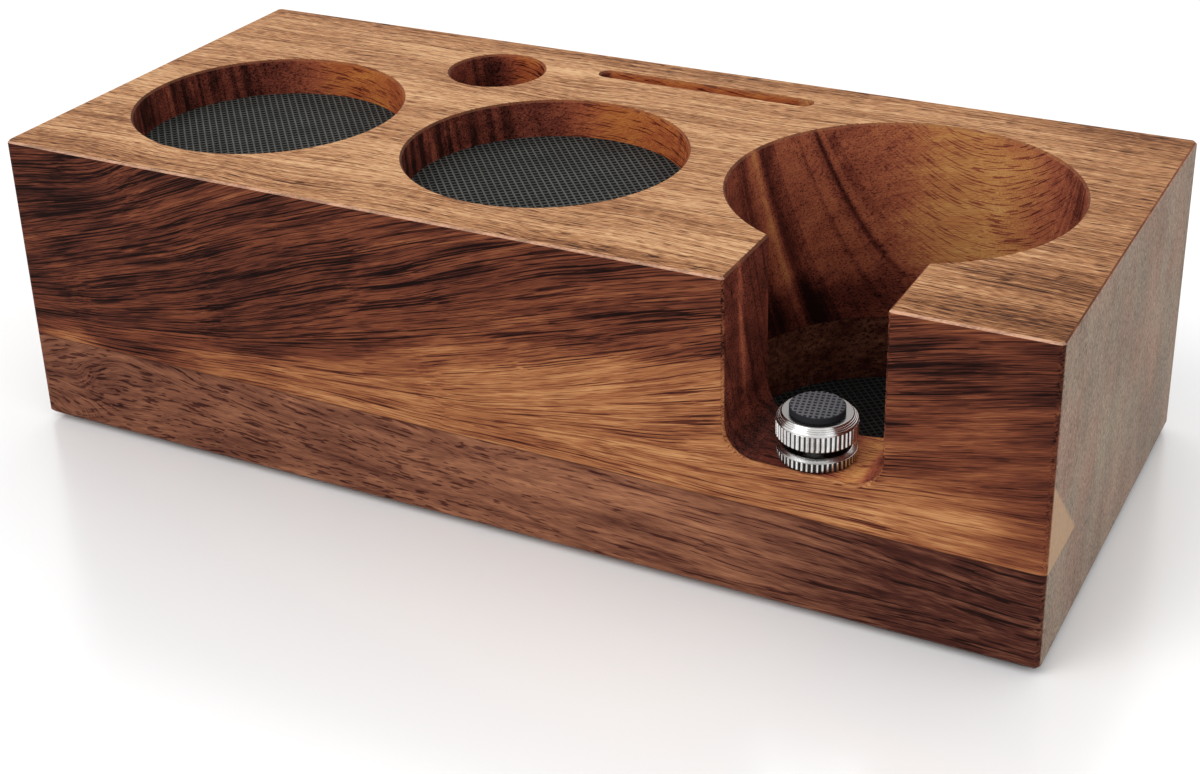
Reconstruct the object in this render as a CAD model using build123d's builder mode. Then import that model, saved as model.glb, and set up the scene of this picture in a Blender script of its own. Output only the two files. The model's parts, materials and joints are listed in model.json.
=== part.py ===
from build123d import *
import os
from math import sqrt

# Wooden espresso tamping station: a laminated hardwood block with two matted recesses, a small
# round hole, a narrow slot, and a deep portafilter bore with a screw support in its front notch.
# The support's head and the lock ring under it turn on one thread and climb as they turn.
# Frame: origin on the table under the middle of the block, +X along the length, +Y to the back,
# +Z up. Millimetres.

os.makedirs("parts", exist_ok=True)

# ---- driving dimensions ----------------------------------------------------------------------
block_length = 275.0
block_depth = 120.0
base_thickness = 24.3
upper_thickness = 55.0
corner_round = 1.6          # the four upright corners
edge_break = 0.6            # bevel round the top, its openings and the notch
bottom_break = 1.0          # bevel round the underside

foot_height = 1.5
foot_radius = 6.0
foot_inset = 14.0           # foot centre from each side of the block

recess_radius = 35.6        # takes a tamper base or a basket
recess_depth = 10.4         # down to the top of the mat
recess_y = -10.3
left_recess_x = -90.7
middle_recess_x = -7.1

mat_thickness = 1.5
mat_seat_step = 0.5         # the mat's seat is this much smaller than the recess
mat_gap = 0.2               # round the mat, in its seat

small_hole_radius = 13.1
small_hole_depth = 30.0
small_hole_x = -48.0
small_hole_y = 36.9

slot_length = 61.6
slot_width = 4.6
slot_depth = 30.0
slot_x = 10.3
slot_y = 46.3

bore_radius = 42.0          # clears a 58 mm portafilter's body
bore_x = 81.8
bore_y = 2.9
bore_floor_height = 6.1     # top of the bore's mat above the underside of the block

notch_width = 37.1
notch_corner = 7.7          # rounded bottom corners
ledge_height = 35.5         # above the underside of the block

support_setback = 9.6       # screw axis behind the front face
thread_radius = 4.0         # M8
thread_pitch = 1.25
thread_bore_radius = 4.05   # running fit on the stud
support_turns = 8           # screw travel, in whole turns

ring_radius = 9.1
ring_lift = 0.2             # the ring's underside clears the wood by this, the washer does not
ring_top = 3.4
ring_knurl_top = 2.5
ring_top_radius = 8.0
washer_radius = 7.0
washer_thickness = 0.8
washer_gap = 0.1            # round and over the washer, inside the ring

head_bottom = 5.25
head_knurl_top = 9.2
head_top = 11.05
head_radius = 9.25
head_top_radius = 7.95
pad_radius = 6.3
pad_top = 12.65
pad_spigot_radius = 2.5
pad_spigot_length = 2.0
pad_spigot_gap = 0.1

knurl_count = 48
knurl_depth = 0.35
knurl_break = 0.3           # chamfer at the ends of a knurled band

insert_radius = 6.0
insert_length = 11.0
stud_below_ledge = 21.0     # stud's lower end, at rest
stud_hole_radius = 4.6      # clearance hole in the base board
stud_hole_margin = 1.5      # below the stud's end
stud_chamfer = 0.8

# ---- heights and places worked out from them ---------------------------------------------------
underside_z = foot_height
seam_z = underside_z + base_thickness
top_z = seam_z + upper_thickness
ledge_z = underside_z + ledge_height
mat_z = top_z - recess_depth
bore_mat_z = underside_z + bore_floor_height
front_y = -block_depth / 2
support_x = bore_x
support_y = front_y + support_setback
support_plane = Plane(origin=(support_x, support_y, ledge_z))
past = 1.0                  # cutting profiles run this far past a face
tiny = 0.001                # for telling edges apart


def knurl_cut(radius, low, high):
    """Straight vee flutes round a turned piece, cut in the part being built."""
    with BuildSketch(support_plane.offset(low)) as flutes:
        with PolarLocations(radius, knurl_count):
            # a square on its corner: one corner points at the axis
            Rectangle(knurl_depth * sqrt(2), knurl_depth * sqrt(2), rotation=45)
    extrude(flutes.sketch, amount=high - low, mode=Mode.SUBTRACT)


def rims(part, height, radius):
    """The round edges of one radius that lie in the level plane at this height."""
    circles = part.edges().filter_by(GeomType.CIRCLE)
    level = circles.filter_by_position(Axis.Z, height - tiny, height + tiny)
    return level.filter_by(lambda edge: abs(edge.radius - radius) < tiny)


def round_the_notch(edge):
    """Is this edge of the front face part of the notch's outline?"""
    middle = edge.center()
    return abs(middle.X - bore_x) < notch_width / 2 + tiny and middle.Z > ledge_z - tiny


# ---- upper block -------------------------------------------------------------------------------
with BuildPart() as upper_block:
    with BuildSketch(Plane.XY.offset(seam_z)):
        Rectangle(block_length, block_depth)
    extrude(amount=upper_thickness)
    fillet(upper_block.edges().filter_by(Axis.Z), corner_round)

    # two recesses, each with a slightly smaller seat for its mat
    with BuildSketch(Plane.XY.offset(top_z)):
        with Locations((left_recess_x, recess_y), (middle_recess_x, recess_y)):
            Circle(recess_radius)
    extrude(amount=-recess_depth, mode=Mode.SUBTRACT)
    with BuildSketch(Plane.XY.offset(mat_z)):
        with Locations((left_recess_x, recess_y), (middle_recess_x, recess_y)):
            Circle(recess_radius - mat_seat_step)
    extrude(amount=-mat_thickness, mode=Mode.SUBTRACT)

    # small round hole
    with BuildSketch(Plane.XY.offset(top_z)):
        with Locations((small_hole_x, small_hole_y)):
            Circle(small_hole_radius)
    extrude(amount=-small_hole_depth, mode=Mode.SUBTRACT)

    # narrow slot with round ends
    with BuildSketch(Plane.XY.offset(top_z)):
        with Locations((slot_x, slot_y)):
            SlotOverall(slot_length, slot_width)
    extrude(amount=-slot_depth, mode=Mode.SUBTRACT)

    # portafilter bore, right through this board
    with BuildSketch(Plane.XY.offset(top_z)):
        with Locations((bore_x, bore_y)):
            Circle(bore_radius)
    extrude(amount=-upper_thickness, mode=Mode.SUBTRACT)

    # notch from the front face into the bore, with a rounded floor: the support's ledge
    notch_top = top_z + notch_corner + past
    with BuildSketch(Plane.XZ.offset(-front_y + past)):
        with Locations((bore_x, (ledge_z + notch_top) / 2)):
            RectangleRounded(notch_width, notch_top - ledge_z, notch_corner)
    extrude(amount=-(bore_y - front_y + past), mode=Mode.SUBTRACT)

    # socket for the threaded insert, down to the seam
    with BuildSketch(support_plane):
        Circle(insert_radius)
    extrude(amount=-(ledge_z - seam_z), mode=Mode.SUBTRACT)

    # one small bevel round the top, round every opening in it, and round the notch in front
    top_edges = upper_block.faces().sort_by(Axis.Z)[-1].edges()
    front_edges = upper_block.faces().sort_by(Axis.Y)[0].edges()
    chamfer(top_edges + front_edges.filter_by(round_the_notch), edge_break)

upper_block.part.label = "upper_block"

# ---- base board --------------------------------------------------------------------------------
with BuildPart() as base_board:
    with BuildSketch(Plane.XY.offset(underside_z)):
        Rectangle(block_length, block_depth)
    extrude(amount=base_thickness)
    fillet(base_board.edges().filter_by(Axis.Z), corner_round)
    chamfer(base_board.faces().sort_by(Axis.Z)[0].edges(), bottom_break)

    # the bore's lower end, and the seat of its mat
    with BuildSketch(Plane.XY.offset(seam_z)):
        with Locations((bore_x, bore_y)):
            Circle(bore_radius)
    extrude(amount=-(seam_z - bore_mat_z), mode=Mode.SUBTRACT)
    with BuildSketch(Plane.XY.offset(bore_mat_z)):
        with Locations((bore_x, bore_y)):
            Circle(bore_radius - mat_seat_step)
    extrude(amount=-mat_thickness, mode=Mode.SUBTRACT)

    # blind hole that the stud's end runs down into
    stud_hole_bottom = ledge_z - stud_below_ledge - stud_hole_margin
    with BuildSketch(Plane.XY.offset(seam_z)):
        with Locations((support_x, support_y)):
            Circle(stud_hole_radius)
    extrude(amount=-(seam_z - stud_hole_bottom), mode=Mode.SUBTRACT)

base_board.part.label = "base_board"


# ---- mats and feet -----------------------------------------------------------------------------
def disc(label, x, y, z, radius, thickness):
    """A plain level disc, its underside at z."""
    with BuildPart() as piece:
        with BuildSketch(Plane.XY.offset(z)):
            with Locations((x, y)):
                Circle(radius)
        extrude(amount=thickness)
    piece.part.label = label
    return piece.part


recess_mat_radius = recess_radius - mat_seat_step - mat_gap
bore_mat_radius = bore_radius - mat_seat_step - mat_gap
foot_x = block_length / 2 - foot_inset
foot_y = block_depth / 2 - foot_inset

seat_z = mat_z - mat_thickness
bore_seat_z = bore_mat_z - mat_thickness

discs = [
    disc("left_recess_mat", left_recess_x, recess_y, seat_z, recess_mat_radius, mat_thickness),
    disc("middle_recess_mat", middle_recess_x, recess_y, seat_z, recess_mat_radius, mat_thickness),
    disc("portafilter_bore_mat", bore_x, bore_y, bore_seat_z, bore_mat_radius, mat_thickness),
    disc("foot_front_left", -foot_x, -foot_y, 0, foot_radius, foot_height),
    disc("foot_front_right", foot_x, -foot_y, 0, foot_radius, foot_height),
    disc("foot_back_left", -foot_x, foot_y, 0, foot_radius, foot_height),
    disc("foot_back_right", foot_x, foot_y, 0, foot_radius, foot_height),
]

# ---- threaded insert in the ledge --------------------------------------------------------------
with BuildPart() as threaded_insert:
    with BuildSketch(support_plane.offset(-insert_length)):
        Circle(insert_radius)
        Circle(thread_bore_radius, mode=Mode.SUBTRACT)
    extrude(amount=insert_length)

threaded_insert.part.label = "threaded_insert"

# ---- lock ring and its captive washer ----------------------------------------------------------
with BuildPart() as lock_ring:
    with BuildSketch(support_plane.offset(ring_lift)):
        Circle(ring_radius)
        Circle(thread_bore_radius, mode=Mode.SUBTRACT)
    extrude(amount=ring_top - ring_lift)
    chamfer(
        rims(lock_ring, ledge_z + ring_top, ring_radius),
        length=ring_top - ring_knurl_top,
        length2=ring_radius - ring_top_radius,
    )
    chamfer(rims(lock_ring, ledge_z + ring_lift, ring_radius), knurl_break)
    with BuildSketch(support_plane.offset(ring_lift)):
        Circle(washer_radius + washer_gap)
    extrude(amount=washer_thickness + washer_gap - ring_lift, mode=Mode.SUBTRACT)
    knurl_cut(ring_radius, ring_lift, ring_knurl_top)

lock_ring.part.label = "lock_ring"

with BuildPart() as lock_ring_washer:
    with BuildSketch(support_plane):
        Circle(washer_radius)
        Circle(thread_bore_radius + 0.3, mode=Mode.SUBTRACT)
    extrude(amount=washer_thickness)

lock_ring_washer.part.label = "lock_ring_washer"

# ---- support head, stud and pad ----------------------------------------------------------------
with BuildPart() as support_head:
    with BuildSketch(support_plane.offset(head_bottom)):
        Circle(head_radius)
    extrude(amount=head_top - head_bottom)
    chamfer(
        rims(support_head, ledge_z + head_top, head_radius),
        length=head_top - head_knurl_top,
        length2=head_radius - head_top_radius,
    )
    chamfer(rims(support_head, ledge_z + head_bottom, head_radius), knurl_break)
    # blind hole for the stud from below, and the pad's spigot hole from above
    with BuildSketch(support_plane.offset(head_bottom)):
        Circle(thread_radius)
    extrude(amount=head_knurl_top - head_bottom - thread_pitch, mode=Mode.SUBTRACT)
    with BuildSketch(support_plane.offset(head_top)):
        Circle(pad_spigot_radius + pad_spigot_gap)
    extrude(amount=-pad_spigot_length - pad_spigot_gap, mode=Mode.SUBTRACT)
    knurl_cut(head_radius, head_bottom, head_knurl_top)

support_head.part.label = "support_head"

stud_top = head_knurl_top - thread_pitch
with BuildPart() as support_stud:
    with BuildSketch(support_plane.offset(-stud_below_ledge)):
        Circle(thread_radius)
    extrude(amount=stud_below_ledge + stud_top)
    chamfer(support_stud.edges().group_by(Axis.Z)[0], stud_chamfer)

support_stud.part.label = "support_stud"

with BuildPart() as support_pad:
    with BuildSketch(support_plane.offset(head_top)):
        Circle(pad_radius)
    extrude(amount=pad_top - head_top)
    with BuildSketch(support_plane.offset(head_top)):
        Circle(pad_spigot_radius)
    extrude(amount=-pad_spigot_length)

support_pad.part.label = "support_pad"

# ---- one file per piece ------------------------------------------------------------------------
turned = [threaded_insert, lock_ring, lock_ring_washer, support_head, support_stud, support_pad]
pieces = [upper_block.part, base_board.part] + discs + [piece.part for piece in turned]
for piece in pieces:
    export_step(piece, "parts/" + piece.label + ".step")

print("overall", block_length, block_depth, top_z)
print("screw travel", support_turns * thread_pitch, "mm in", support_turns, "turns")
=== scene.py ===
import json
import math

import bmesh
import bpy
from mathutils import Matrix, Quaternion, Vector


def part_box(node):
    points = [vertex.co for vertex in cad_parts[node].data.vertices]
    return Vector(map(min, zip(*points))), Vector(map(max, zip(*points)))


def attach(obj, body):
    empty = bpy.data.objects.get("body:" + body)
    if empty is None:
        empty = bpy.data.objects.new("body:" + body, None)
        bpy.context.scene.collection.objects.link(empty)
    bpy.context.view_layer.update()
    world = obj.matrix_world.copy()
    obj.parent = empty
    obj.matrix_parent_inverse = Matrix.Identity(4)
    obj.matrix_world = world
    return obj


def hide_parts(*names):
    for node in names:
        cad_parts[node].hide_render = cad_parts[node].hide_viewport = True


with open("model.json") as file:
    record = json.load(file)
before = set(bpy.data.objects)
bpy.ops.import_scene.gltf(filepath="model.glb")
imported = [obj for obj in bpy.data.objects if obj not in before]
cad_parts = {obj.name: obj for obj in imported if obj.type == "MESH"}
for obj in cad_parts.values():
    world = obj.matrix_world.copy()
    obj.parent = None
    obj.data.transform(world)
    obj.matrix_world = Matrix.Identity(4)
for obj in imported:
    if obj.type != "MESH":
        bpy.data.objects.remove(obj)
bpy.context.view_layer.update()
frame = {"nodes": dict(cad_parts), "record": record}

# Looks of a wooden espresso tamping station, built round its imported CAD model.
# Lengths are in metres, as in the frame; inside the materials they are in millimetres.

MM = 0.001
MM_PER_METRE = 1000.0

# ---- places taken from the frame ---------------------------------------------------------------
board_low, board_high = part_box("upper_block")
head_low, head_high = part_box("support_head")
ring_low, ring_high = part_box("lock_ring")
stud_low, stud_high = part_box("support_stud")
pad_low, pad_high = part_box("support_pad")
washer_low, washer_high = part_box("lock_ring_washer")

screw_x = (stud_low.x + stud_high.x) / 2
screw_y = (stud_low.y + stud_high.y) / 2
head_radius = (head_high.x - head_low.x) / 2
ring_radius = (ring_high.x - ring_low.x) / 2


def mount(name):
    """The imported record's interface of this name."""
    return next(item for item in frame["record"]["mounts"] if item["name"] == name)


# the materials' places, in millimetres
bore_x, bore_y = (value / MM for value in mount("portafilter_bore")["pos_m"][:2])
half_length = board_high.x / MM
half_depth = board_high.y / MM
top_z = board_high.z / MM
seam_z = board_low.z / MM
ledge_z = washer_low.z / MM


# ---- node helpers ------------------------------------------------------------------------------
class Value:
    """A number that varies over a surface. Arithmetic on it adds Math nodes."""

    def __init__(self, graph, socket):
        self.graph = graph
        self.socket = socket

    def __add__(self, other):
        return self.graph.math("ADD", self, other)

    def __radd__(self, other):
        return self.graph.math("ADD", other, self)

    def __sub__(self, other):
        return self.graph.math("SUBTRACT", self, other)

    def __rsub__(self, other):
        return self.graph.math("SUBTRACT", other, self)

    def __mul__(self, other):
        return self.graph.math("MULTIPLY", self, other)

    def __truediv__(self, other):
        return self.graph.math("DIVIDE", self, other)

    def __abs__(self):
        return self.graph.math("ABSOLUTE", self)


class Graph:
    """One material's node tree. Most calls add nodes and return what comes out of them."""

    def __init__(self, name):
        self.material = bpy.data.materials.new(name)
        self.material.use_nodes = True
        self.tree = self.material.node_tree
        self.tree.nodes.clear()
        self.shader = self.tree.nodes.new("ShaderNodeBsdfPrincipled")
        output = self.tree.nodes.new("ShaderNodeOutputMaterial")
        self.tree.links.new(self.shader.outputs[0], output.inputs["Surface"])

    def feed(self, socket, value):
        """Links a value to a socket, or sets the socket where the value is a constant."""
        if isinstance(value, Value):
            self.tree.links.new(value.socket, socket)
        elif isinstance(value, bpy.types.NodeSocket):
            self.tree.links.new(value, socket)
        else:
            socket.default_value = value

    def math(self, operation, *values):
        node = self.tree.nodes.new("ShaderNodeMath")
        node.operation = operation
        for socket, value in zip(node.inputs, values):
            self.feed(socket, value)
        return Value(self, node.outputs[0])

    def split(self, vector):
        node = self.tree.nodes.new("ShaderNodeSeparateXYZ")
        self.feed(node.inputs[0], vector)
        return [Value(self, socket) for socket in node.outputs]

    def join(self, x, y, z):
        node = self.tree.nodes.new("ShaderNodeCombineXYZ")
        for socket, value in zip(node.inputs, (x, y, z)):
            self.feed(socket, value)
        return node.outputs[0]

    def place(self):
        """The surface point's place in the frame, in millimetres."""
        coordinates = self.tree.nodes.new("ShaderNodeTexCoord")
        return [value * MM_PER_METRE for value in self.split(coordinates.outputs["Object"])]

    def facing(self):
        """The direction that the surface faces."""
        geometry = self.tree.nodes.new("ShaderNodeNewGeometry")
        return self.split(geometry.outputs["Normal"])

    def distance(self, dx, dy):
        """Length of a level offset."""
        return self.math("SQRT", dx * dx + dy * dy)

    def noise(self, x, y, z, detail=0.0, roughness=0.5):
        """Smooth noise from about -0.4 to 0.4, one feature to a unit."""
        node = self.tree.nodes.new("ShaderNodeTexNoise")
        self.feed(node.inputs["Vector"], self.join(x, y, z))
        node.inputs["Scale"].default_value = 1.0
        node.inputs["Detail"].default_value = detail
        node.inputs["Roughness"].default_value = roughness
        return Value(self, node.outputs[0]) - 0.5

    def even_noise(self, place, size, detail, roughness=0.5):
        """Noise whose features are of about one size in every direction."""
        x, y, z = place
        return self.noise(x / size, y / size, z / size, detail, roughness)

    def smooth(self, value, low, high, start=0.0, end=1.0):
        """Goes smoothly from start to end as the value goes from low to high."""
        node = self.tree.nodes.new("ShaderNodeMapRange")
        node.interpolation_type = "SMOOTHSTEP"
        for socket, item in zip(node.inputs, (value, low, high, start, end)):
            self.feed(socket, item)
        return Value(self, node.outputs[0])

    def hump(self, value, centre, width):
        """One at the centre, fading to nothing about two widths away."""
        scaled = (value - centre) / width
        return self.math("EXPONENT", scaled * scaled * -1.0)

    def patch(self, x, z, centre, size):
        """A hump both along and up a face."""
        return self.hump(x, centre[0], size[0]) * self.hump(z, centre[1], size[1])

    def ramp(self, value, stops):
        """A colour read from (position, colour) stops."""
        node = self.tree.nodes.new("ShaderNodeValToRGB")
        elements = node.color_ramp.elements
        while len(elements) < len(stops):
            elements.new(0.5)
        for element, (position, colour) in zip(elements, stops):
            element.position = position
            element.color = colour
        self.feed(node.inputs[0], value)
        return node.outputs[0]

    def mix(self, factor, first, second, blend="MIX"):
        """Two colours mixed; the factor is the second one's share."""
        node = self.tree.nodes.new("ShaderNodeMix")
        node.data_type = "RGBA"
        node.blend_type = blend
        self.feed(node.inputs[0], factor)
        self.feed(node.inputs[6], first)
        self.feed(node.inputs[7], second)
        return node.outputs[2]

    def bump(self, height, distance, strength=1.0):
        """Feeds a height to the shader's normal; distance is the height of 1, in metres."""
        node = self.tree.nodes.new("ShaderNodeBump")
        node.inputs["Strength"].default_value = strength
        node.inputs["Distance"].default_value = distance
        self.feed(node.inputs["Height"], height)
        self.feed(self.shader.inputs["Normal"], node.outputs[0])

    def set(self, **settings):
        """Sets the shader's own sockets: set(Roughness=0.4, Base_Color=colour)."""
        for name, value in settings.items():
            self.feed(self.shader.inputs[name.replace("_", " ")], value)


def srgb(*display):
    """A linear colour from red, green and blue display values of 0 to 255."""
    linear = []
    for value in display:
        share = value / 255
        linear.append(((share + 0.055) / 1.055) ** 2.4 if value > 10 else share / 12.92)
    return (*linear, 1.0)


# ---- wood --------------------------------------------------------------------------------------
SIDE_TONES = [
    (0.0, srgb(24, 11, 9)),
    (0.25, srgb(64, 31, 24)),
    (0.5, srgb(112, 60, 41)),
    (0.75, srgb(154, 98, 62)),
    (1.0, srgb(192, 139, 92)),
]
WALL_TONES = [
    (0.0, srgb(34, 17, 14)),
    (0.25, srgb(104, 50, 40)),
    (0.5, srgb(166, 92, 66)),
    (0.75, srgb(202, 140, 82)),
    (1.0, srgb(228, 180, 116)),
]
TOP_TONES = [
    (0.0, srgb(56, 32, 24)),
    (0.3, srgb(120, 75, 46)),
    (0.65, srgb(171, 122, 84)),
    (1.0, srgb(211, 169, 126)),
]
END_TONES = [
    (0.0, srgb(80, 67, 56)),
    (0.5, srgb(138, 119, 107)),
    (1.0, srgb(176, 157, 139)),
]
BASE_TONES = [
    (0.0, srgb(30, 15, 12)),
    (0.25, srgb(70, 36, 29)),
    (0.5, srgb(116, 73, 55)),
    (0.75, srgb(154, 103, 75)),
    (1.0, srgb(186, 136, 100)),
]
GLUE_COLOUR = srgb(40, 22, 18)
TAN = srgb(178, 142, 108)           # near corner of the right end
# painted highlight on the outer top edge's bevel, and painted shade on the openings' bevels
EDGE_HIGHLIGHT = srgb(218, 172, 142)
OPENING_EDGE_SHADE = srgb(96, 62, 42)
# painted light: a warm tint on the walls of the smaller openings that face the key light
LIT_WALL_TINT = srgb(255, 228, 188)

# where the front's figure lies, in millimetres along it and up it; patches are (centre, size)
AMBER_START = (-112.0, 25.0)        # of the amber foot's upper edge, which climbs to the right
AMBER_SLOPE = 0.22
AMBER_TURN = 60.0                   # from here on the edge falls again
AMBER_FALL = 0.6
BAND_START = (-129.0, 42.0)         # of the dark band's middle, which climbs to the right
BAND_SLOPE = 0.21
BAND_TOP = 70.0
BAND_WIDTH = 8.5
FAR_PATCH = ((-122.0, 69.0), (24.0, 8.0))
NOTCH_PATCH = ((114.0, 71.0), (13.0, 6.0))
KNOT = ((-124.0, seam_z + 1.2), (9.0, 2.6))
BASE_AMBER = ((40.0, 19.0), (42.0, 5.0))

# the growth layers in the openings, in millimetres back from the middle at the table's height
LAYER_LEAN = 0.33                   # forwards for each millimetre up
RECESS_SHIFT = 19.0                 # the recesses' layers lie this much further forward
WIDE_LAYER = (40.3, 2.0)            # place, width
NARROW_LAYER = (55.6, 0.55)
BRIGHT_LAYER = (36.4, 1.2)
STREAK = (-42.0, 1.6)
STREAK_LEAN = 0.12
ARC_SAG = 0.024                     # of the dashes on the bore's back wall
LEDGE_HEIGHT = 0.4                  # within this of the ledge, a face belongs to it

GRAIN_CELL = 44.0                   # length of the patches that share one set of grain axes
CELL_STEP = 17.3                    # sets each cell's noise apart from its neighbours'
LAYOUT_STEP = 61.0                  # and from the cells of the other layout
GLUE_WIDTH = 0.16
WOOD_GLOSS = 0.03                   # specular level of the oiled wood
WOOD_RELIEF = 0.05 * MM             # height of the fibres over the pores


class Grain:
    """Noise that is drawn out along a wood grain whose angle may vary over the surface.

    Two layouts of cells, half a cell apart, are blended, so that no cell's edge shows.
    """

    def __init__(self, graph, along, across, depth, angle):
        self.graph = graph
        self.frames = []
        cosine = graph.math("COSINE", angle)
        sine = graph.math("SINE", angle)
        power = 0.0
        for shift in (0.0, 0.5):
            place = along / GRAIN_CELL + shift
            index = graph.math("FLOOR", place)
            offset = place - index
            local = (offset - 0.5) * GRAIN_CELL
            weight = 1.0 - abs(offset * 2.0 - 1.0)
            self.frames.append((
                local * cosine + across * sine,
                across * cosine - local * sine,
                depth + index * CELL_STEP + shift * LAYOUT_STEP,
                weight,
            ))
            power = weight * weight + power
        self.gain = graph.math("INVERSE_SQRT", power)

    def noise(self, length, width, seed, detail=0.0, roughness=0.5):
        """Features of about this length and width, in millimetres."""
        total = 0.0
        for along, across, depth, weight in self.frames:
            value = self.graph.noise(
                along / length + seed, across / width, depth / width, detail, roughness
            )
            total = value * weight + total
        return total * self.gain


def board_faces(graph, x, y):
    """Masks of a board's long outer faces and of its two ends."""
    long_side = graph.smooth(abs(y), half_depth - 1.1, half_depth - 0.8)
    end = graph.smooth(abs(x), half_length - 0.3, half_length - 0.05)
    return long_side, end


def mirror_sign(graph, y):
    """1, and -1 at the back face, which has the front's figure as seen from behind."""
    return graph.smooth(y, 52.0, 58.0, 1.0, -1.0)


def end_grain(graph, x, y, z, tint):
    """Pale grey sawn end: upright bands, and pores cut across as dots."""
    bands = graph.noise(y / 13.0, z / 34.0, x / 50.0 + 3.0, 2.0)
    dots = graph.noise(x, y / 0.45, z / 0.8, 1.0, 0.6)
    specks = graph.noise(x + 5.0, y / 0.7, z / 1.3, 1.0, 0.5) + graph.smooth(z, 40.0, 76.0) * 0.04
    tone = bands * 0.6 + dots * 1.1 - graph.smooth(specks, 0.13, 0.2) * 0.2 + tint
    colour = graph.ramp(tone, END_TONES)
    hue = graph.smooth(graph.noise(y / 15.0 + 9.0, z / 22.0, x / 50.0, 2.0), -0.2, 0.2)
    cast = graph.mix(hue, srgb(246, 252, 248), srgb(255, 243, 238))
    return graph.mix(1.0, colour, cast, "MULTIPLY")


def glued(graph, colour, z, end):
    """The colour with the glue line drawn over it at the seam, fainter on the ends."""
    glue = graph.hump(z, seam_z, GLUE_WIDTH) * (0.6 - end * 0.4)
    return graph.mix(glue, colour, GLUE_COLOUR)


def oiled(graph, colour, rough, height):
    """The finished material of a board."""
    graph.set(Base_Color=colour, Roughness=rough, Specular_IOR_Level=WOOD_GLOSS)
    graph.bump(height, WOOD_RELIEF, 0.6)
    return graph.material


class UpperGrain:
    """The upper board's noises along its grain, from broad bands down to single fibres."""

    def __init__(self, graph, x, y, z, front_x, mirror):
        # level at the seam and fanning upwards, less to the right and in the far corner
        fan = graph.smooth(z, seam_z, seam_z + 26.0, 0.0, 0.33)
        calm_right = graph.smooth(front_x, 30.0, 110.0, 1.0, 0.7)
        corner = graph.smooth(front_x, -126.0, -92.0, 1.0, 0.0) * graph.smooth(z, 58.0, 74.0)
        self.drift = graph.noise(x / 50.0, y / 30.0, z / 22.0, 1.0)
        angle = fan * calm_right * (1.0 - corner * 0.7) * mirror + self.drift * 0.3
        grain = Grain(graph, x, z - 52.0, y, angle)

        self.broad = grain.noise(80.0, 7.0, 0.0, 1.0)
        self.streaks = grain.noise(30.0, 1.7, 5.0, 1.0)
        self.smears = grain.noise(32.0, 3.4, 29.0, 2.0)
        self.lines = grain.noise(36.0, 0.44, 11.0, 1.0, 0.3)
        self.threads = grain.noise(30.0, 0.28, 47.0)
        self.dots = grain.noise(7.0, 0.42, 17.0)
        self.fibre = grain.noise(4.5, 0.17, 23.0, 1.0)


def long_side_wood(graph, front_x, z, grain):
    """Colour and pores of the long sides: a dark band climbs to the right over an amber foot."""
    amber_edge = AMBER_START[1] + (front_x - AMBER_START[0]) * AMBER_SLOPE
    amber_edge = amber_edge - graph.math("MAXIMUM", front_x - AMBER_TURN, 0.0) * AMBER_FALL
    amber = graph.smooth(amber_edge - z + grain.broad * 26.0, -9.0, 13.0)
    band_z = BAND_START[1] + (front_x - BAND_START[0]) * BAND_SLOPE
    band_z = graph.math("MINIMUM", band_z, BAND_TOP)
    band = graph.hump(z + grain.broad * 14.0, band_z, BAND_WIDTH)
    far_patch = graph.patch(front_x, z, *FAR_PATCH)
    notch_patch = graph.patch(front_x, z, *NOTCH_PATCH)
    knot = graph.patch(front_x, z, *KNOT)
    edge = graph.smooth(front_x, 121.0, 136.0)
    dark = band * 0.45 + far_patch * 1.2 + notch_patch * 1.4
    smears = graph.smooth(grain.smears + dark * 0.08 - amber * 0.04, 0.02, 0.16)
    tone = 0.51 + amber * 0.29 - dark * 0.1 + knot * 0.34 - edge * 0.13
    tone = tone - graph.smooth(front_x, 10.0, -80.0) * (1.0 - amber) * 0.1 - smears * 0.1

    # thin dark pores along the grain, close together in the dark figure and scarce in the amber
    sparse = graph.smooth(front_x, 96.0, 106.0) * graph.smooth(z, 68.0, 58.0)
    crowd = grain.lines + dark * 0.06 - amber * 0.03 - sparse * 0.06 + grain.smears * 0.25
    pores = graph.smooth(crowd, 0.08, 0.125) + graph.smooth(grain.dots, 0.09, 0.14) * 0.4
    pores = pores + graph.smooth(grain.threads + grain.smears * 0.2, 0.08, 0.15) * 0.5
    pore_depth = 0.32 - graph.smooth(front_x, 104.0, 114.0) * 0.12
    figure = grain.broad * 0.26 + grain.streaks * 0.5 + grain.fibre * 0.5
    return graph.ramp(tone + figure - pores * pore_depth, SIDE_TONES), pores


def layer_shade(graph, x, y, z, recess, facing_x, shaded):
    """How much the growth layers darken an opening's wall; they lean forwards as they rise."""
    ring = y + z * LAYER_LEAN + recess * RECESS_SHIFT
    layers = graph.noise(x / 70.0, ring / 2.3, 7.0, 2.0)
    dark = graph.hump(ring, *WIDE_LAYER) + graph.hump(ring, *NARROW_LAYER) * (1.3 - recess * 1.3)
    dark = dark + graph.smooth(ring, 31.5, 34.0, 1.0, 0.0) * 0.5
    dark = dark + graph.smooth(layers, 0.02, 0.12) * 0.36
    bright = graph.hump(ring, *BRIGHT_LAYER)
    rings = (dark * 0.28 - bright * 0.16) * (1.0 - recess * 0.5)
    facing_left = graph.smooth(facing_x, -0.45, -0.9)
    return shaded * rings + facing_left * graph.smooth(layers, -0.05, 0.14) * 0.2


def recess_shade(graph, x, y, z, facing_x):
    """How much painted shade darkens the left walls of the smaller openings, which face away from
    the key light, with upright stripes of grain.
    """
    upright = graph.noise(x / 40.0, (y + z * 0.1) / 2.6, 91.0, 2.0)
    stripes = graph.smooth(upright, -0.06, 0.1) * graph.smooth(facing_x, 0.4, 0.75)
    return graph.smooth(facing_x, -0.2, 0.7) * 0.19 + stripes * 0.18


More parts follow.
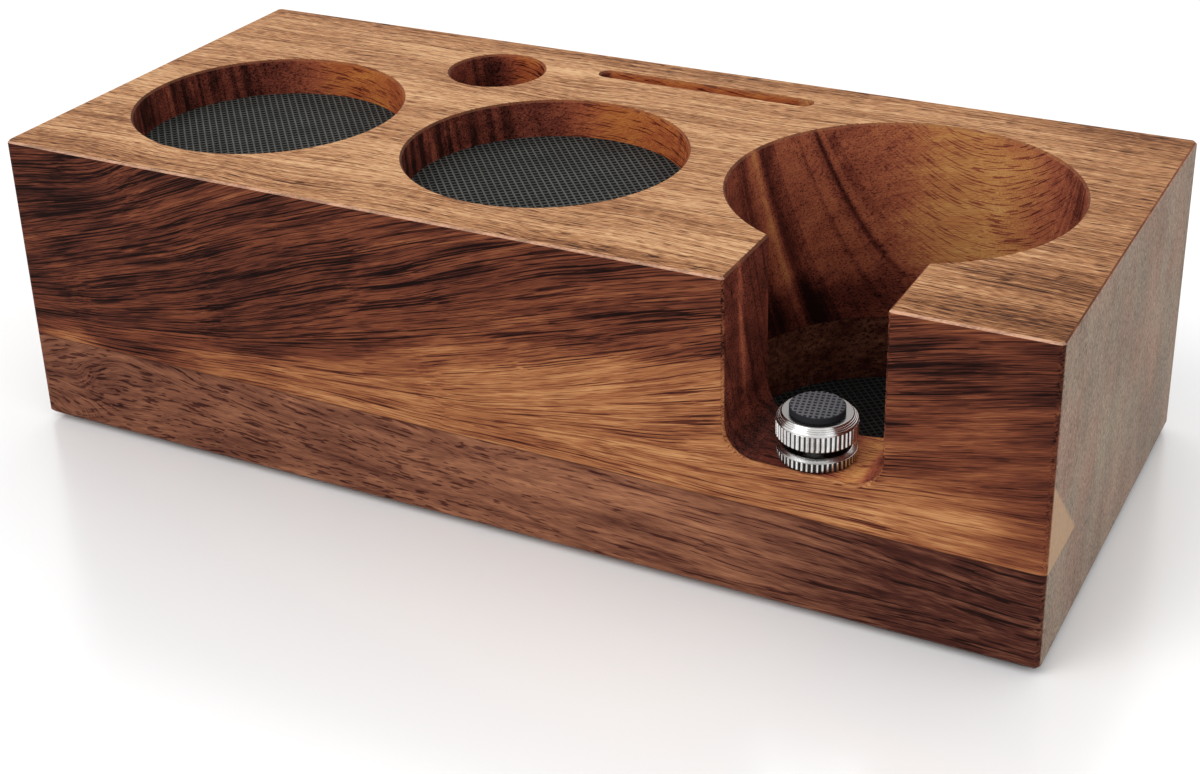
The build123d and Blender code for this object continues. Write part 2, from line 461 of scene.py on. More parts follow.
def notch_shade(graph, y, z, shaded):
    """How much painted shade darkens the notch's left wall, which faces away from the key light,
    but for one brighter streak of grain down it.
    """
    wall = graph.smooth(y, bore_y - 34.0, bore_y - 41.0) * shaded
    streak = graph.hump(y + z * STREAK_LEAN, *STREAK) * wall * graph.smooth(z, 44.0, 56.0)
    return wall * 0.12 - streak * 0.24


def sagging_arcs(graph, x, y, z, recess, facing_x, facing_y, drift):
    """The amber patches at the back right, and the dark dashes that sag across them."""
    behind = graph.smooth(facing_x, 0.55, 0.0) * graph.smooth(facing_y, -0.1, -0.45)
    sag = (x - (bore_x + 6.0)) * (1.0 - recess)
    arc_z = z - sag * sag * ARC_SAG + drift * 6.0 + x * recess * 0.08
    arcs = graph.noise(x / 6.0, arc_z / 0.46, y / 9.0, 1.0, 0.4)
    zone = behind * graph.smooth(z, ledge_z, ledge_z + 12.0)
    zone = zone * graph.smooth(x, bore_x + 38.0, bore_x + 24.0)
    return zone, graph.smooth(arcs, 0.075, 0.125)


def opening_wood(graph, x, y, z, grain):
    """Colour of the walls inside the recesses, holes, bore and notch, and of the notch's ledge."""
    facing_x, facing_y, facing_z = graph.facing()
    recess = graph.smooth(x, bore_x - 44.0, bore_x - 46.0)
    # painted light and shade: walls that face the key light at the left are lit and lighter, walls
    # that face away are shaded, and the openings are painted darker low down, near and under the
    # ledge
    shaded = graph.smooth(facing_x, 0.15, 0.6)
    lit = graph.smooth(facing_x, 0.55, -0.1)
    low = graph.smooth(z, ledge_z + 6.0, ledge_z - 4.0)
    back_rim = graph.smooth(y, 44.0, 46.0) * graph.smooth(z, top_z, top_z - 3.0)
    far_right = graph.smooth(facing_x, -0.2, -0.7) * (1.0 - recess * 0.6)
    tone = 0.46 + lit * 0.18 - low * 0.27 - back_rim * 0.12 - far_right * 0.22
    tone = tone - layer_shade(graph, x, y, z, recess, facing_x, shaded)
    tone = tone - recess * (recess_shade(graph, x, y, z, facing_x) + lit * 0.11)
    tone = tone - notch_shade(graph, y, z, shaded)
    arc_zone, dashes = sagging_arcs(graph, x, y, z, recess, facing_x, facing_y, grain.drift)
    tone = tone + arc_zone * (0.1 - dashes * 0.32)

    ledge = graph.hump(z, ledge_z, LEDGE_HEIGHT) * graph.smooth(facing_z, 0.5, 0.9)
    ledge_lines = graph.noise(x / 7.0, (y + grain.drift * 8.0) / 0.55, 71.0, 1.0, 0.4)
    # painted shade on the ledge's left and painted light on its right
    ledge_tone = graph.smooth(x, bore_x, bore_x + 12.0, -0.3, 0.26)
    tone = tone + ledge * (ledge_tone - graph.smooth(ledge_lines, 0.05, 0.12) * 0.34)

    pores = graph.smooth(grain.dots, 0.08, 0.15) * (1.0 - arc_zone) * (1.0 - ledge)
    figure = grain.broad * 0.3 + grain.streaks * 0.2 + grain.fibre * 0.6
    colour = graph.ramp(tone + figure - pores * 0.17, WALL_TONES)
    # painted light: a warm tint on the lit walls of the smaller openings
    return graph.mix(recess * lit * 0.8, colour, LIT_WALL_TINT, "MULTIPLY")


def top_wood(graph, x, y, drift):
    """Colour and height of the top: honey with long streaks and short dark dashes."""
    wave = graph.noise(x / 42.0, y / 26.0, 2.0, 1.0)
    across = y + drift * 4.0 + wave * 5.0
    cloud = graph.noise(x / 95.0, across / 10.0, 4.0, 2.0)
    stripes = graph.noise(x / 46.0, across / 1.2, 8.0, 2.0, 0.6)
    pits = graph.noise(x / 6.0, across / 0.42, 15.0, 1.0, 0.4)
    threads = graph.noise(x / 34.0, across / 0.45, 52.0)
    fine = graph.noise(x / 2.6, across / 0.2, 30.0, 1.0)
    dashes = graph.smooth(pits - cloud * 0.14, 0.09, 0.15)
    dark_threads = graph.smooth(threads - cloud * 0.1, 0.1, 0.17)

    # browner at the back, along the front and at the right, most of all in its front corner
    brown = graph.smooth(y, 50.0, 59.0) * 0.14 + graph.smooth(y, -46.0, -58.0) * 0.08
    brown = brown + graph.smooth(x, 98.0, 134.0) * 0.14
    brown = brown + graph.smooth(x, 84.0, 112.0) * graph.smooth(y, -20.0, -40.0) * 0.14
    tone = 0.72 - brown + cloud * 0.6 + stripes * 1.05 + fine * 1.3
    colour = graph.ramp(tone - dashes * 0.46 - dark_threads * 0.3, TOP_TONES)
    return colour, fine * 0.5 - dashes


def upper_wood():
    """The thick board: honey on top, red-brown with fanning dark grain on its long sides."""
    graph = Graph("upper_wood")
    x, y, z = graph.place()
    long_side, end = board_faces(graph, x, y)
    top = graph.smooth(z, top_z - 0.15, top_z - 0.02)
    mirror = mirror_sign(graph, y)
    front_x = x * mirror
    grain = UpperGrain(graph, x, y, z, front_x, mirror)
    side_colour, pores = long_side_wood(graph, front_x, z, grain)
    wall_colour = opening_wood(graph, x, y, z, grain)
    top_colour, top_height = top_wood(graph, x, y, grain.drift)
    colour = graph.mix(long_side, wall_colour, side_colour)
    colour = graph.mix(top, colour, top_colour)

    # the bevel of the outer top edge gets a painted highlight, broken along the grain; those of the
    # openings get painted shade, so they hardly catch the light
    bevel = graph.smooth(z, top_z - 0.62, top_z - 0.55) - top
    outer = graph.math("MAXIMUM", graph.smooth(abs(y), half_depth - 1.2, half_depth - 0.9), end)
    highlight_share = graph.smooth(grain.fibre + grain.streaks, -0.2, 0.25, 0.4, 0.8)
    colour = graph.mix(bevel * (1.0 - outer) * 0.6, colour, OPENING_EDGE_SHADE)
    colour = graph.mix(bevel * outer * highlight_share, colour, EDGE_HIGHLIGHT)

    # grey ends; on the right one, the near corner above the seam is tan
    corner = graph.smooth(-38.0 - y - (z - seam_z), -1.0, 1.0) * graph.smooth(x, 0.0, 1.0)
    end_colour = end_grain(graph, x, y, z, 0.55 + corner * 0.25)
    end_colour = graph.mix(corner * 0.6, end_colour, TAN)
    colour = graph.mix(end, colour, end_colour)

    rough = 0.46 + grain.fibre * 0.2 + pores * 0.12 + end * 0.1
    height = grain.fibre * 0.5 - pores * (1.0 - top) + top_height * top
    return oiled(graph, glued(graph, colour, z, end), rough, height)


def base_wood():
    """The thin board under the seam: darker and purpler, with short wavy dashes."""
    graph = Graph("base_wood")
    x, y, z = graph.place()
    end = board_faces(graph, x, y)[1]
    front_x = x * mirror_sign(graph, y)

    drift = graph.noise(x / 26.0, y / 30.0, z / 14.0 + 5.0, 1.0)
    swirl = graph.smooth(front_x, -120.0, -60.0, 2.0, 0.5)
    grain = Grain(graph, x, z - 14.0, y, drift * swirl - 0.03)
    broad = grain.noise(45.0, 5.0, 0.0, 1.0)
    streaks = grain.noise(13.0, 1.4, 5.0, 1.0)
    dashes = grain.noise(4.6, 0.62, 11.0, 1.0, 0.4)
    threads = grain.noise(22.0, 0.6, 41.0, 1.0, 0.4)
    fibre = grain.noise(3.5, 0.18, 23.0, 1.0)

    # wavy dashes at the left give way to straight lines at the right, where the wood is darker
    straight = graph.smooth(front_x, -20.0, 70.0) * 0.85
    lines = dashes * (1.0 - straight) + threads * straight
    pores = graph.smooth(lines + broad * 0.14, 0.07, 0.13)
    amber = graph.patch(front_x, z, *BASE_AMBER)
    dark_right = graph.smooth(front_x, 70.0, 112.0)
    tone = 0.46 + graph.hump(front_x, 0.0, 60.0) * 0.09 + amber * 0.1 - dark_right * 0.2
    tone = tone + broad * 0.42 + streaks * 0.5 + fibre * 0.5

    # painted shade: the wall at the foot of the bore is darker
    from_bore = graph.distance(x - bore_x, y - bore_y)
    tone = tone - graph.smooth(from_bore, 44.0, 43.0) * 0.2
    colour = graph.ramp(tone - pores * 0.26, BASE_TONES)
    colour = graph.mix(end, colour, end_grain(graph, x, y, z, 0.5))
    rough = 0.48 + fibre * 0.2 + pores * 0.1
    return oiled(graph, glued(graph, colour, z, end), rough, fibre * 0.5 - pores)


# ---- other materials ---------------------------------------------------------------------------
RUBBER_GLOSS = 0.06                 # specular level
DUST_SIZE = 9.0
GRIT_SIZE = 0.3
LIGHT_STEEL = srgb(238, 237, 235)
GREY_STEEL = srgb(176, 174, 172)
RIM_STEEL = srgb(158, 155, 153)
# painted shade in the gap on top of the ring and in the flutes
GAP_SHADE_STEEL = srgb(100, 98, 97)
FLUTE_SHADE_STEEL = srgb(20, 19, 19)


def woven_rubber(name, dark, light, weave, centre, top):
    """Matt rubber with a woven face: painted shade makes its square pits black; the crests between
    them are paler, with dust.
    """
    turn = weave["turn"]
    relief = weave["relief"]
    graph = Graph(name)
    place = graph.place()
    x, y, z = place
    dx = x - centre.x / MM
    dy = y - centre.y / MM
    per_turn = math.pi / (weave["pitch"] / MM)
    along = (dx * math.cos(turn) + dy * math.sin(turn)) * per_turn
    across = (dy * math.cos(turn) - dx * math.sin(turn)) * per_turn
    warp = abs(graph.math("COSINE", along))
    weft = abs(graph.math("COSINE", across))
    dust = graph.even_noise(place, DUST_SIZE, 3.0)
    grit = graph.even_noise(place, GRIT_SIZE, 2.0, 0.6)
    crest = graph.smooth(graph.math("MAXIMUM", warp, weft), weave["crest"], 1.0)
    crest = crest * graph.smooth(z, (top - relief) / MM, (top - relief * 0.4) / MM)
    # painted shade: the pits take the dark colour and the crests the light one, mottled by dust and
    # grit
    colour = graph.mix(crest * (0.9 + grit * 1.4 + dust * 1.1), dark, light)
    graph.set(Base_Color=colour, Roughness=0.72 + grit * 0.3, Specular_IOR_Level=RUBBER_GLOSS)
    graph.bump(grit, 0.04 * MM, 0.5)
    return graph.material


def plain_rubber():
    """Black moulded rubber of the feet."""
    graph = Graph("foot_rubber")
    place = graph.place()
    x, y, z = place
    grit = graph.even_noise(place, 0.25, 2.0)
    scuff = graph.smooth(graph.noise(x / 2.5, y / 1.2, z / 2.0, 3.0), 0.02, 0.2)
    colour = graph.mix(scuff * 0.5, srgb(34, 34, 35), srgb(62, 61, 60))
    graph.set(Base_Color=colour, Roughness=0.7 + grit * 0.2)
    graph.bump(grit, 0.03 * MM, 0.5)
    return graph.material


def turned_steel():
    """Polished steel with rings left by turning, painted shade in its flutes and in the gap on top
    of the ring.
    """
    graph = Graph("polished_steel")
    x, y, z = graph.place()
    radius = graph.distance(x - screw_x / MM, y - screw_y / MM)
    rings = graph.noise(radius / 0.16, z / 0.11, 2.0, 1.0)
    smear = graph.noise(x / 2.2, y / 2.2, z / 1.4, 3.0)

    # painted shade in the flutes of the head's and the ring's bands, without the smooth shoulder
    # above each
    outside = ring_radius / MM
    band = graph.smooth(radius, outside - 1.0, outside - 0.7)
    shaded_flutes = band * graph.smooth(radius, outside - 0.04, outside - 0.2)
    head_shoulder = (head_low.z + HEAD_BAND_TOP) / MM
    shoulder = graph.smooth(z, head_shoulder - 0.02, head_shoulder + 0.1)
    ring_shoulder = (ring_low.z + RING_BAND_TOP) / MM + 0.5
    shoulder = shoulder + graph.hump(z, ring_shoulder, 0.35)
    shaded_flutes = shaded_flutes * (1.0 - graph.math("MINIMUM", shoulder, 1.0))

    # greyer on the head's flat rim, and painted shade in the gap on top of the ring, under the head
    rim = graph.smooth(z, head_high.z / MM - 0.12, head_high.z / MM - 0.03)
    ring_rim = RING_RIM / MM
    gap_shade = graph.smooth(radius, ring_rim + 0.05, ring_rim - 0.25)
    gap_shade = gap_shade * graph.hump(z, ring_high.z / MM, 0.12)
    polish = graph.mix(0.5 + smear + rings * 0.9, GREY_STEEL, LIGHT_STEEL)
    polish = graph.mix(rim, polish, RIM_STEEL)
    polish = graph.mix(gap_shade, polish, GAP_SHADE_STEEL)
    colour = graph.mix(shaded_flutes * 0.95, polish, FLUTE_SHADE_STEEL)
    rough = 0.2 + rings * 0.16 + smear * 0.1 + shaded_flutes * 0.25
    graph.set(Base_Color=colour, Roughness=rough, Metallic=1.0)
    graph.bump(rings, 0.014 * MM, 0.6)
    return graph.material


def machined_brass():
    """Threaded insert: brass with turning marks and a little tarnish."""
    graph = Graph("insert_brass")
    place = graph.place()
    x, y, z = place
    marks = graph.noise(x / 3.0, y / 3.0, z / 0.08, 1.0)
    tarnish = graph.smooth(graph.even_noise(place, 2.0, 3.0), -0.1, 0.25)
    colour = graph.mix(tarnish * 0.6, srgb(206, 170, 104), srgb(140, 104, 62))
    graph.set(Base_Color=colour, Roughness=0.3 + marks * 0.2 + tarnish * 0.15, Metallic=1.0)
    graph.bump(marks, 0.01 * MM, 0.4)
    return graph.material


def washer_nylon():
    """Matt black nylon."""
    graph = Graph("washer_nylon")
    cloud = graph.even_noise(graph.place(), 1.5, 2.0)
    colour = graph.mix(0.5 + cloud, srgb(38, 38, 39), srgb(56, 56, 57))
    graph.set(Base_Color=colour, Roughness=0.5 + cloud * 0.3)
    graph.bump(cloud, 0.01 * MM, 0.4)
    return graph.material


# ---- mesh helpers ------------------------------------------------------------------------------
AXIS_GAP = 0.02 * MM                # where a turned outline ends instead of on its axis
LONGEST_RUN = 0.5 * MM              # of a turned piece's faces, along its outline
CORNER_STEPS = 4                    # faces round one rounded corner
SPIGOT_SIDES = 32
FOOT_SIDES = 64


def make_object(name, mesh_builder, material, smooth_angle=35.0):
    """An object from a bmesh, smooth except at its sharp edges."""
    mesh = bpy.data.meshes.new(name)
    mesh_builder.to_mesh(mesh)
    mesh_builder.free()
    piece = bpy.data.objects.new(name, mesh)
    bpy.context.collection.objects.link(piece)
    mesh.materials.append(material)
    mesh.shade_smooth()
    mesh.set_sharp_from_angle(angle=math.radians(smooth_angle))
    return piece


def spin(name, centre, outline, segments, material, radius_limit=None):
    """A turned piece: a closed (radius, height) outline carried round an upright axis.

    radius_limit(angle, height) may cut into the piece, as flutes do.
    """
    shape = bmesh.new()
    rows = []
    for radius, height in outline:
        row = []
        for step in range(segments):
            angle = 2 * math.pi * step / segments
            reach = radius
            if radius_limit:
                reach = min(radius, radius_limit(angle, height))
            x = centre.x + reach * math.cos(angle)
            y = centre.y + reach * math.sin(angle)
            row.append(shape.verts.new((x, y, centre.z + height)))
        rows.append(row)
    for row, next_row in zip(rows, rows[1:] + rows[:1]):
        for step in range(segments):
            after = (step + 1) % segments
            shape.faces.new((row[step], row[after], next_row[after], next_row[step]))
    bmesh.ops.recalc_face_normals(shape, faces=shape.faces)
    return make_object(name, shape, material)


def rounded(outline, sizes):
    """The outline with rounded corners; one size in millimetres for each point, 0 if sharp."""
    result = []
    count = len(outline)
    for index, (point, size) in enumerate(zip(outline, sizes)):
        corner = Vector(point)
        if size == 0:
            result.append(tuple(corner))
            continue
        before = Vector(outline[index - 1]) - corner
        after = Vector(outline[(index + 1) % count]) - corner
        start = corner + before.normalized() * (size * MM)
        end = corner + after.normalized() * (size * MM)
        for step in range(CORNER_STEPS + 1):
            t = step / CORNER_STEPS
            place = start * (1 - t) ** 2 + corner * 2 * t * (1 - t) + end * t ** 2
            result.append(tuple(place))
    return result


def divided(outline):
    """The outline with its long runs cut into shorter ones."""
    result = []
    for start, end in zip(outline, outline[1:] + outline[:1]):
        a = Vector(start)
        b = Vector(end)
        parts = max(1, math.ceil((b - a).length / LONGEST_RUN))
        result += [tuple(a.lerp(b, step / parts)) for step in range(parts)]
    return result


# ---- woven mats --------------------------------------------------------------------------------
# crest is where the strands' paler colour starts, 1 being their top; below it the pits get their
# black, painted shade
MAT_WEAVE = {"pitch": 1.75 * MM, "relief": 0.42 * MM, "turn": math.radians(40.6), "crest": 0.86}
PAD_WEAVE = {"pitch": 1.25 * MM, "relief": 0.26 * MM, "turn": math.radians(12.0), "crest": 0.62}
WEAVE_CELLS = 6                     # mesh cells to one pitch
WEAVE_OVER = 0.1                    # how much each strand rises and falls where they cross
WEFT_HEIGHT = 0.95                  # of the warp's
STRAND_POWER = 1.2                  # shape of a crest: 1 is a cosine, and more is narrower
SHEET_LAP = 0.6 * MM                # past the mat's body, over the edge of its seat
SHEET_RISE = 0.45 * MM              # of the sheet's top above the body's
SHEET_GAP = 0.02 * MM               # between the sheet's underside and the body's top
SHEET_RIM = 0.2 * MM
PAD_RIM = 0.3 * MM
# the pits' black is painted shade; the crests are paler on the recesses' mats and darker on the
# bore's mat
MAT_DARK = srgb(17, 17, 17)
MAT_PALE_CREST = srgb(84, 84, 80)
MAT_DIM_CREST = srgb(52, 54, 53)


def weave_height(i, j):
    """Height of a plain weave at a mesh point, 0 in its square pits and 1 on its ridges."""
    a = math.cos(math.pi * i / WEAVE_CELLS)
    b = math.cos(math.pi * j / WEAVE_CELLS)
    over = math.copysign(WEAVE_OVER, a * b)
    warp = abs(a) ** STRAND_POWER * (1 - WEAVE_OVER + over * abs(b))
    weft = abs(b) ** STRAND_POWER * (WEFT_HEIGHT - WEAVE_OVER - over * abs(a))
    return max(warp, weft)


def woven_disc(name, centre, radius, top, sides, weave, rim, material):
    """A disc with a woven top face and a soft rim; sides are its (radius, z) rows downwards."""
    cell = weave["pitch"] / WEAVE_CELLS
    turn = weave["turn"]
    count = math.ceil(radius / cell)
    shape = bmesh.new()
    grid = {}

    def vertex(i, j):
        if (i, j) not in grid:
            u = i * cell
            v = j * cell
            distance = math.hypot(u, v)
            inside = min(1.0, (radius - distance) / rim)
            crown = math.sqrt(max(0.0, 1 - (1 - inside) ** 2))
            drop = rim * (1 - crown) + weave["relief"] * (1 - weave_height(i, j)) * crown
            x = centre.x + u * math.cos(turn) - v * math.sin(turn)
            y = centre.y + u * math.sin(turn) + v * math.cos(turn)
            grid[i, j] = shape.verts.new((x, y, top - drop))
        return grid[i, j]

    for i in range(-count, count):
        for j in range(-count, count):
            corners = [(i, j), (i + 1, j), (i + 1, j + 1), (i, j + 1)]
            if all(math.hypot(*corner) * cell < radius for corner in corners):
                shape.faces.new([vertex(*corner) for corner in corners])
    border = [edge for edge in shape.edges if edge.is_boundary]
    row = {vert for edge in border for vert in edge.verts}
    for reach, height in [(radius, top - rim), *sides]:
        if height < top - rim or reach < radius:
            border = bmesh.ops.extrude_edge_only(shape, edges=border)["geom"]
            row = [item for item in border if isinstance(item, bmesh.types.BMVert)]
            border = [item for item in border if isinstance(item, bmesh.types.BMEdge)]
        for vert in row:
            offset = Vector((vert.co.x - centre.x, vert.co.y - centre.y)).normalized() * reach
            vert.co = (centre.x + offset.x, centre.y + offset.y, height)
    bmesh.ops.contextual_create(shape, geom=[e for e in shape.edges if e.is_boundary])
    bmesh.ops.recalc_face_normals(shape, faces=shape.faces)
    return make_object(name, shape, material)


def add_mats():
    """The three mats: a body in its seat under a woven sheet that covers the seat's edge."""
    mats = (
        ("left_recess_mat", MAT_PALE_CREST),
        ("middle_recess_mat", MAT_PALE_CREST),
        ("portafilter_bore_mat", MAT_DIM_CREST),
    )
    for node, light in mats:
        low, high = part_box(node)
        body = (high.x - low.x) / 2
        sheet = body + SHEET_LAP
        top = high.z + SHEET_RISE
        under = high.z + SHEET_GAP
        middle = (low + high) / 2
        material = woven_rubber(node + "_rubber", MAT_DARK, light, MAT_WEAVE, middle, top)
        sides = [(sheet, under), (body, under), (body, low.z)]
        mat = woven_disc(node + "_woven", middle, sheet, top, sides, MAT_WEAVE, SHEET_RIM, material)
        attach(mat, "block")
        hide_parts(node)


# ---- screw support -----------------------------------------------------------------------------
FLUTES = 48
FLUTE_POINTS = 8                    # mesh points round one flute
FLUTE_DEPTH = 0.38 * MM
FLUTE_SHARE = 0.7                   # of the pitch; the rest is the land between flutes
FLUTE_STEEPNESS = 1.35              # above 1, a flute has a flat floor
HEAD_BAND_TOP = 3.95 * MM           # top of the head's fluted band, above its underside
RING_BAND_TOP = 2.3 * MM
RING_RIM = 8.05 * MM                # radius of the ring's top face, with its rounded edge
CONE_STEP = 0.15 * MM
CONE_STEPS_AT = (0.2, 0.45, 0.7)    # shares of the way up the cone
THREAD_PITCH = 1.25 * MM
THREAD_DEPTH = 0.6 * MM
THREAD_PLAY = 0.03 * MM
THREAD_CREST = 0.16                 # crest's and flanks' shares of the pitch
THREAD_FLANKS = 0.68
THREAD_POINTS = 40                  # mesh points round the stud
THREAD_ROWS = 10                    # mesh rows to one pitch
STUD_CHAMFER = 0.8 * MM


def flute_limit(radius, top):
    """Radius that straight flutes leave, up to their top."""

    def limit(angle, height):
        if height > top:
            return radius
        phase = angle * FLUTES / (2 * math.pi) % 1.0
        dip = max(0.0, 1 - abs(phase - 0.5) / (FLUTE_SHARE / 2))
        return radius - FLUTE_DEPTH * min(1.0, dip * FLUTE_STEEPNESS)

    return limit


def support_head(steel):
    """The knurled head: flat rim, bright cone, a fine groove and a fluted band."""
    centre = Vector((screw_x, screw_y, head_low.z))
    radius = head_radius
    height = head_high.z - head_low.z
    groove = radius - 0.18 * MM
    collar = radius - 0.06 * MM
    cone_top = 8.01 * MM
    socket = 2.6 * MM
    socket_floor = height - 2.1 * MM

    # fine turned steps down the cone
    cone_low = Vector((collar, HEAD_BAND_TOP + 0.42 * MM))
    cone_high = Vector((cone_top, height - 0.04 * MM))
    steps = []
    for share in CONE_STEPS_AT:
        place = cone_low.lerp(cone_high, share)
        steps.append((place.x, place.y))
        steps.append((place.x - CONE_STEP, place.y + 0.02 * MM))
        steps.append((place.x - CONE_STEP, place.y + CONE_STEP))

    outline = [
        (AXIS_GAP, 0.0),
        (radius - 0.4 * MM, 0.0),
        (radius, 0.4 * MM),
        (radius, HEAD_BAND_TOP),
        (groove, HEAD_BAND_TOP + 0.02 * MM),
        (groove, HEAD_BAND_TOP + 0.2 * MM),
        (collar, HEAD_BAND_TOP + 0.26 * MM),
        tuple(cone_low),
        *steps,
        tuple(cone_high),
        (cone_top - 0.2 * MM, height),
        (socket + 0.1 * MM, height),
        (socket, height - 0.1 * MM),
        (socket, socket_floor),
        (AXIS_GAP, socket_floor),
    ]
    sizes = [0, 0.12, 0.12, 0.06, 0, 0, 0.05, 0.1, *[0] * len(steps), 0.1, 0.08, 0, 0, 0, 0]
    outline = divided(rounded(outline, sizes))
    limit = flute_limit(radius, HEAD_BAND_TOP)
    head = spin("support_head_knurled", centre, outline, FLUTES * FLUTE_POINTS, steel, limit)
    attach(head, "support")
    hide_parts("support_head")


def lock_ring(steel):
    """The knurled ring under the head, hollow below for its washer."""
    centre = Vector((screw_x, screw_y, ring_low.z))
    radius = ring_radius
    height = ring_high.z - ring_low.z
    bore = 4.05 * MM
    pocket = (washer_high.x - washer_low.x) / 2 + 0.1 * MM
    pocket_top = washer_high.z + 0.1 * MM - ring_low.z
    outline = [
        (pocket, 0.0),
        (radius - 0.3 * MM, 0.0),
        (radius, 0.3 * MM),
        (radius, RING_BAND_TOP),
        (radius - 0.1 * MM, RING_BAND_TOP + 0.04 * MM),
        (radius - 0.14 * MM, RING_BAND_TOP + 0.22 * MM),
        (RING_RIM, height - 0.05 * MM),
        (RING_RIM - 0.2 * MM, height),
        (bore + 0.3 * MM, height),
        (bore, height - 0.3 * MM),
        (bore, pocket_top),
        (pocket, pocket_top),
    ]
    sizes = [0, 0.1, 0.1, 0.05, 0, 0.06, 0.1, 0.08, 0.05, 0, 0, 0]
    outline = divided(rounded(outline, sizes))
    limit = flute_limit(radius, RING_BAND_TOP)
    ring = spin("lock_ring_knurled", centre, outline, FLUTES * FLUTE_POINTS, steel, limit)
    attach(ring, "lock_ring")
    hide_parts("lock_ring")


def support_stud(steel):
    """The stud with its real thread: a helix that fades out at the chamfered lower end."""
    height = stud_high.z - stud_low.z
    outer = (stud_high.x - stud_low.x) / 2 - THREAD_PLAY
    rows = math.ceil(height / THREAD_PITCH * THREAD_ROWS)
    shape = bmesh.new()
    levels = []
    for row in range(rows + 1):
        z = height * row / rows
        ring = []
        for step in range(THREAD_POINTS):
            angle = 2 * math.pi * step / THREAD_POINTS
            phase = (z / THREAD_PITCH - step / THREAD_POINTS) % 1.0
            valley = (abs(phase - 0.5) * 2 - THREAD_CREST) / THREAD_FLANKS
            chamfered = outer - max(0.0, STUD_CHAMFER - z)
            reach = min(outer - THREAD_DEPTH * min(1.0, max(0.0, valley)), chamfered)
            x = screw_x + reach * math.cos(angle)
            y = screw_y + reach * math.sin(angle)
            ring.append(shape.verts.new((x, y, stud_low.z + z)))
        levels.append(ring)
    for ring, above in zip(levels, levels[1:]):
        for step in range(THREAD_POINTS):
            after = (step + 1) % THREAD_POINTS
            shape.faces.new((ring[step], ring[after], above[after], above[step]))
    shape.faces.new(levels[0])
    shape.faces.new(levels[-1])
    bmesh.ops.recalc_face_normals(shape, faces=shape.faces)
    stud = make_object("support_stud_threaded", shape, steel, 50.0)
    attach(stud, "support")
    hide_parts("support_stud")


def support_pad():
    """The pad that the portafilter rests on: woven face over a short round plug."""
    radius = 6.3 * MM
    head_top = head_high.z
    pad_top = pad_high.z
    centre = Vector((screw_x, screw_y, pad_low.z))
    dark = srgb(40, 40, 43)
    light = srgb(100, 99, 103)
    material = woven_rubber("support_pad_rubber", dark, light, PAD_WEAVE, centre, pad_top)
    sides = [(radius, head_top)]
    face = woven_disc(
        "support_pad_woven", centre, radius, pad_top, sides, PAD_WEAVE, PAD_RIM, material
    )
    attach(face, "support_lift")
    spigot = 2.5 * MM
    bevel = 0.3 * MM
    spigot_top = head_top - pad_low.z + 0.3 * MM
    outline = [
        (AXIS_GAP, 0.0),
        (spigot - bevel, 0.0),
        (spigot, bevel),
        (spigot, spigot_top),
        (AXIS_GAP, spigot_top),
    ]
    plug = spin("support_pad_spigot", centre, divided(outline), SPIGOT_SIDES, material)
    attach(plug, "support_lift")
    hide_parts("support_pad")


def add_feet():
    """Four moulded feet with rounded rims and a shallow dish under each."""
    rubber = plain_rubber()
    for name in ("foot_front_left", "foot_front_right", "foot_back_left", "foot_back_right"):
        low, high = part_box(name)
        radius = (high.x - low.x) / 2
        height = high.z - low.z
        centre = Vector(((low.x + high.x) / 2, (low.y + high.y) / 2, low.z))
        dish = 0.3 * MM
        taper = 0.35 * MM
        outline = [
            (AXIS_GAP, dish),
            (radius * 0.45, dish),
            (radius * 0.6, 0.0),
            (radius - taper, 0.0),
            (radius, height),
            (AXIS_GAP, height),
        ]
        outline = rounded(outline, [0, 0.6, 0.5, 0.5, 0, 0])
        foot = spin(name + "_moulded", centre, outline, FOOT_SIDES, rubber)
        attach(foot, "block")
        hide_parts(name)


# ---- stage, light and camera -------------------------------------------------------------------
FLOOR_WHITE = (0.92, 0.92, 0.92, 1.0)
FLOOR_REACH = 6.0
ROOM_STRENGTH = 0.95
SUNS = (                            # name, direction towards it, width in degrees, strength
    ("key", (-0.5, -0.7, 0.9), 34.0, 0.95),
    ("top_back", (0.1, 0.55, 1.0), 60.0, 0.2),
    ("right", (1.0, -0.1, 0.6), 60.0, 0.25),
)


def add_floor():
    """A glossy white tabletop, level with the underside of the feet."""
    graph = Graph("floor_white")
    haze = graph.even_noise(graph.place(), 90.0, 2.0)
    graph.set(Base_Color=FLOOR_WHITE, Roughness=0.22 + haze * 0.04)
    graph.set(Specular_IOR_Level=1.0, IOR=1.7)
    shape = bmesh.new()
    bmesh.ops.create_grid(shape, x_segments=8, y_segments=8, size=FLOOR_REACH)
    floor = make_object("floor", shape, graph.material)


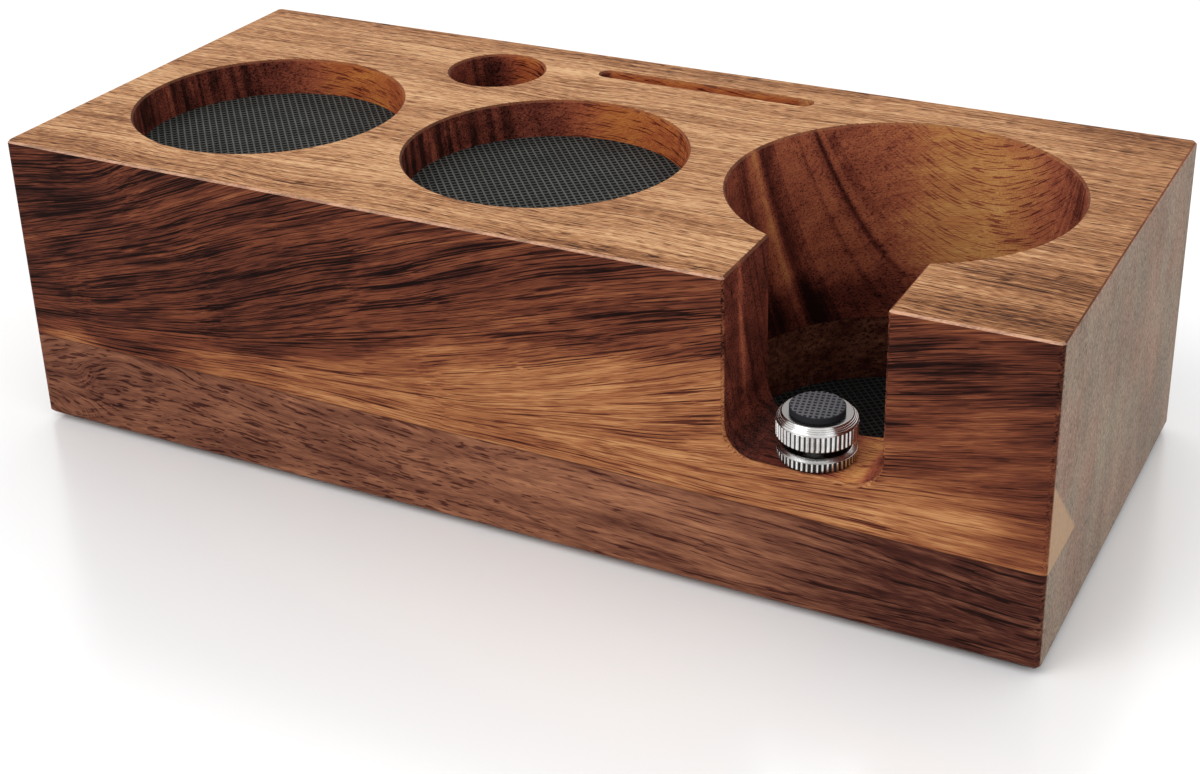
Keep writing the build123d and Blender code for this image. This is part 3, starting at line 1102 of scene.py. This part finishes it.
def add_sun(name, towards, width, strength):
    """A broad soft source far away; towards points from the object to it."""
    light = bpy.data.lights.new(name, "SUN")
    light.energy = strength
    light.angle = math.radians(width)
    lamp = bpy.data.objects.new(name, light)
    lamp.rotation_euler = Vector(towards).to_track_quat("Z", "Y").to_euler()
    bpy.context.collection.objects.link(lamp)


def add_lights():
    """A pale room, a key light from the left, one high behind and one at the right."""
    world = bpy.data.worlds.new("studio")
    world.use_nodes = True
    background = world.node_tree.nodes["Background"]
    background.inputs["Color"].default_value = (1.0, 1.0, 1.0, 1.0)
    background.inputs["Strength"].default_value = ROOM_STRENGTH
    bpy.context.scene.world = world
    for name, towards, width, strength in SUNS:
        add_sun(name, towards, width, strength)


def add_camera():
    """Looks down at the front from the right of the middle, as fitted to the photograph."""
    azimuth = math.radians(27.75)
    elevation = math.radians(25.36)
    roll = math.radians(-1.537)
    target = Vector((0.0006, 0.0056, 0.04))
    distance = 0.5206
    focal_length = 59.7
    film_width = 36.0
    shift_right = -0.005
    shift_up = -0.09
    back = Vector((
        math.sin(azimuth) * math.cos(elevation),
        -math.cos(azimuth) * math.cos(elevation),
        math.sin(elevation),
    ))
    data = bpy.data.cameras.new("camera")
    data.lens = focal_length
    data.sensor_width = film_width
    data.shift_x = shift_right
    data.shift_y = shift_up
    camera = bpy.data.objects.new("camera", data)
    camera.location = target + back * distance
    camera.rotation_mode = "QUATERNION"
    level = (-back).to_track_quat("-Z", "Y")
    camera.rotation_quaternion = level @ Quaternion((0, 0, 1), roll)
    bpy.context.collection.objects.link(camera)
    bpy.context.scene.camera = camera


def dress(node, material):
    """Gives a CAD node its material."""
    mesh = frame["nodes"][node].data
    mesh.materials.clear()
    mesh.materials.append(material)


# ---- the model ---------------------------------------------------------------------------------
add_camera()
add_lights()
add_floor()
dress("upper_block", upper_wood())
dress("base_board", base_wood())
dress("threaded_insert", machined_brass())
dress("lock_ring_washer", washer_nylon())
add_mats()
steel = turned_steel()
support_head(steel)
lock_ring(steel)
support_stud(steel)
support_pad()
add_feet()
bpy.context.scene.view_settings.view_transform = "Standard"
